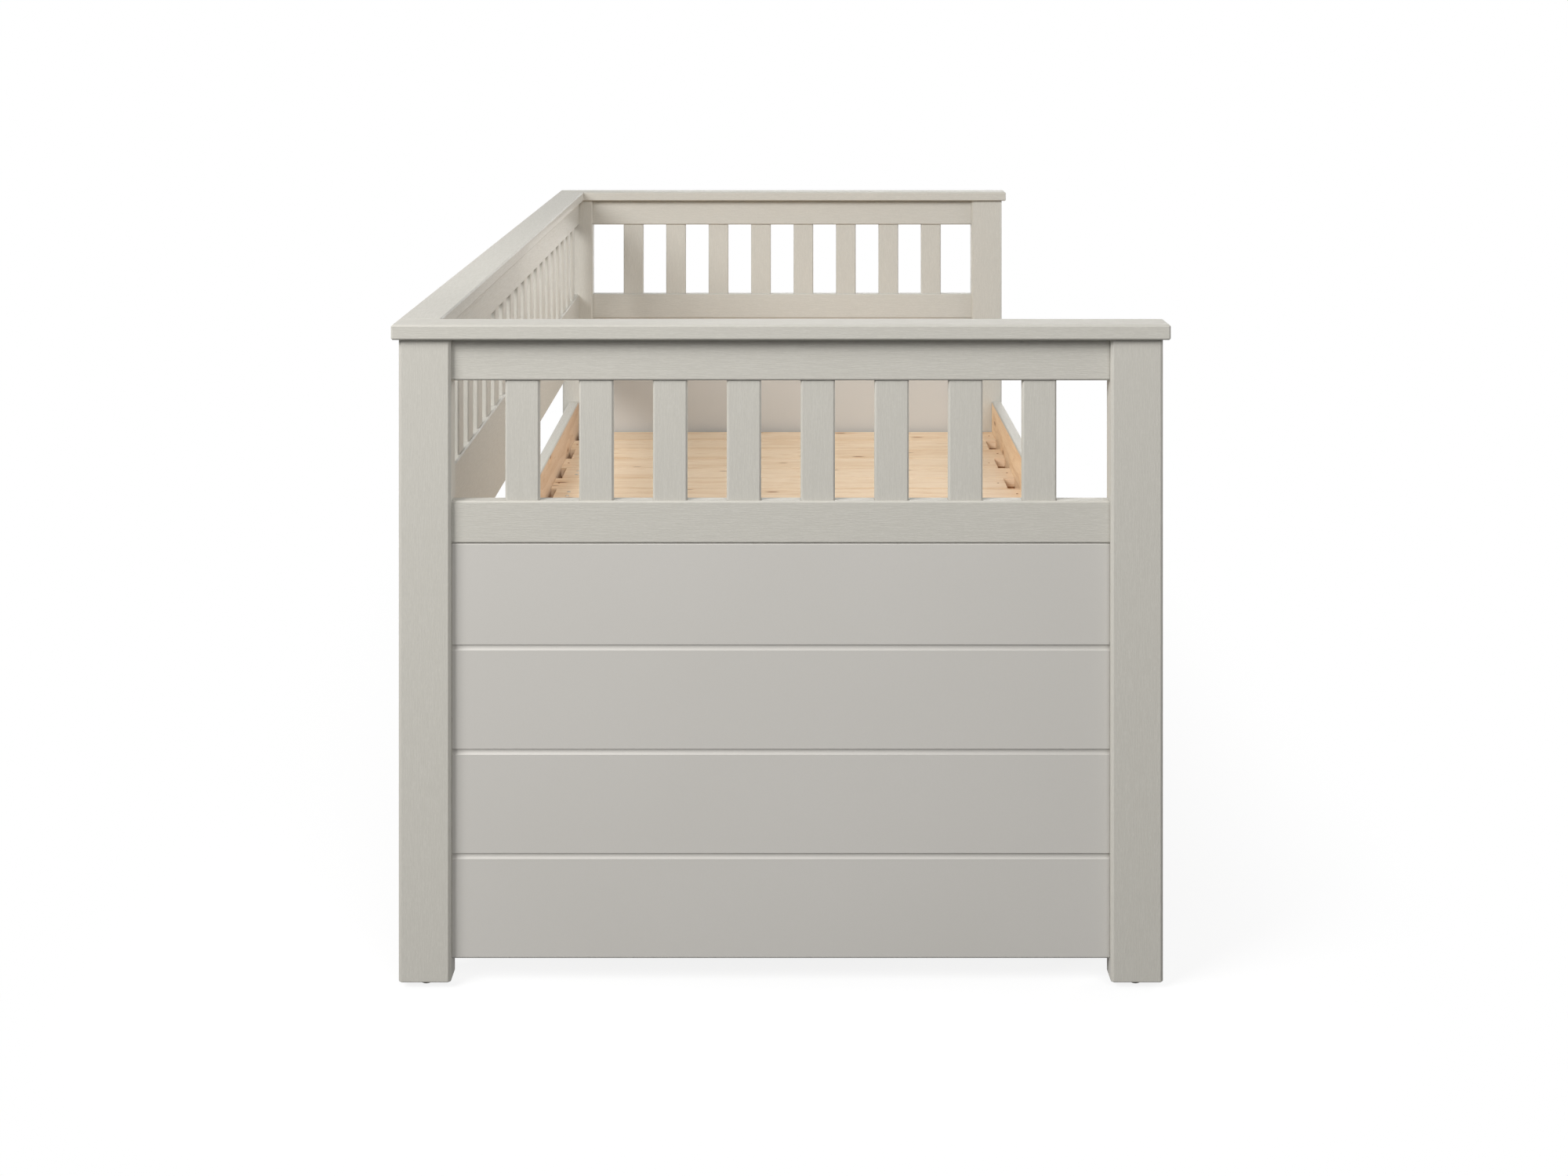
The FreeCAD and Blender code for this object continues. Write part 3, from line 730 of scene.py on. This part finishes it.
def seen_directly(tree):
    """One where the camera, a reflection or a look through glass meets it, and nought for bounced light."""
    path = add(tree, "ShaderNodeLightPath")
    seen = maths(tree, "MAXIMUM", path.outputs["Is Camera Ray"], path.outputs["Is Glossy Ray"])
    return maths(tree, "MAXIMUM", seen, path.outputs["Is Transmission Ray"])


def off_footprint(tree, half):
    """How far a place on the floor lies outside the box's footprint."""
    place = on_piece(tree)
    away = add(tree, "ShaderNodeVectorMath", {0: place}, operation="ABSOLUTE").outputs[0]
    away = add(tree, "ShaderNodeVectorMath", {0: away, 1: half}, operation="SUBTRACT").outputs[0]
    away = add(tree, "ShaderNodeVectorMath", {0: away, 1: (0, 0, 0)}, operation="MAXIMUM").outputs[0]
    return add(tree, "ShaderNodeVectorMath", {0: away}, operation="LENGTH").outputs["Value"]


def studio_floor():
    """A pale floor that keeps a soft shadow near the bed and fades to plain white further off."""
    half = FLOOR_WIDE / 2
    mesh = bpy.data.meshes.new("floor")
    corners = [(-half, -half, 0), (half, -half, 0), (half, half, 0), (-half, half, 0)]
    mesh.from_pydata(corners, [], [range(len(corners))])
    floor = bpy.data.objects.new("floor", mesh)
    bpy.context.scene.collection.objects.link(floor)
    material, tree, shader = new_material("pale floor")
    shader.inputs["Base Color"].default_value = FLOOR_GREY
    shader.inputs["Roughness"].default_value = FLOOR_ROUGH
    shader.inputs["Specular IOR Level"].default_value = 0
    shadow = add(tree, "ShaderNodeBsdfDiffuse", {"Color": WHITE}).outputs[0]
    white = add(tree, "ShaderNodeEmission", {"Color": WHITE, "Strength": 1}).outputs[0]
    plain = spread(tree, off_footprint(tree, cad_box[1]), 0, SHADOW_FADE, 1 - SHADOW_SHARE, 1)
    backdrop = add(tree, "ShaderNodeMixShader", {0: plain, 1: shadow, 2: white}).outputs[0]
    surface = add(tree, "ShaderNodeMixShader", {0: seen_directly(tree), 1: shader.outputs[0], 2: backdrop})
    tree.links.new(surface.outputs[0], tree.nodes["Material Output"].inputs["Surface"])
    mesh.materials.append(material)


def studio_light():
    """Soft light from all round and a few broad lamps, the strongest of them on the left."""
    world = bpy.data.worlds.new("studio")
    bpy.context.scene.world = world
    world.use_nodes = True
    tree = world.node_tree
    tree.nodes.clear()
    soft = add(tree, "ShaderNodeBackground", {"Color": WHITE, "Strength": SKY_LIGHT}).outputs[0]
    white = add(tree, "ShaderNodeBackground", {"Color": WHITE, "Strength": 1}).outputs[0]
    seen = add(tree, "ShaderNodeMixShader", {0: seen_directly(tree), 1: soft, 2: white}).outputs[0]
    add(tree, "ShaderNodeOutputWorld", {"Surface": seen})

    for name, (place, target, size, watts) in LAMPS.items():
        lamp = bpy.data.lights.new(name, "AREA")
        lamp.shape = "SQUARE"
        lamp.size = size
        lamp.energy = watts
        holder = bpy.data.objects.new(name, lamp)
        holder.location = place
        aim = Vector(target) - holder.location
        holder.rotation_euler = aim.to_track_quat("-Z", "Y").to_euler()
        holder.visible_camera = False
        bpy.context.scene.collection.objects.link(holder)


def photo_camera():
    """The photograph's camera: level, looking along the bed, shifted down from its horizon."""
    lens = bpy.data.cameras.new("camera")
    lens.sensor_width = SENSOR_WIDE
    lens.lens = SENSOR_WIDE * FOCAL_PIXELS / PHOTO_WIDE
    lens.shift_y = (HORIZON_PIXEL - PHOTO_HIGH / 2) / PHOTO_WIDE
    holder = bpy.data.objects.new("camera", lens)
    holder.location = CAMERA_AT
    holder.rotation_euler = (math.radians(90), 0, 0)
    bpy.context.scene.collection.objects.link(holder)
    bpy.context.scene.camera = holder


studio_floor()
studio_light()
photo_camera()
bpy.context.scene.view_settings.view_transform = "Standard"
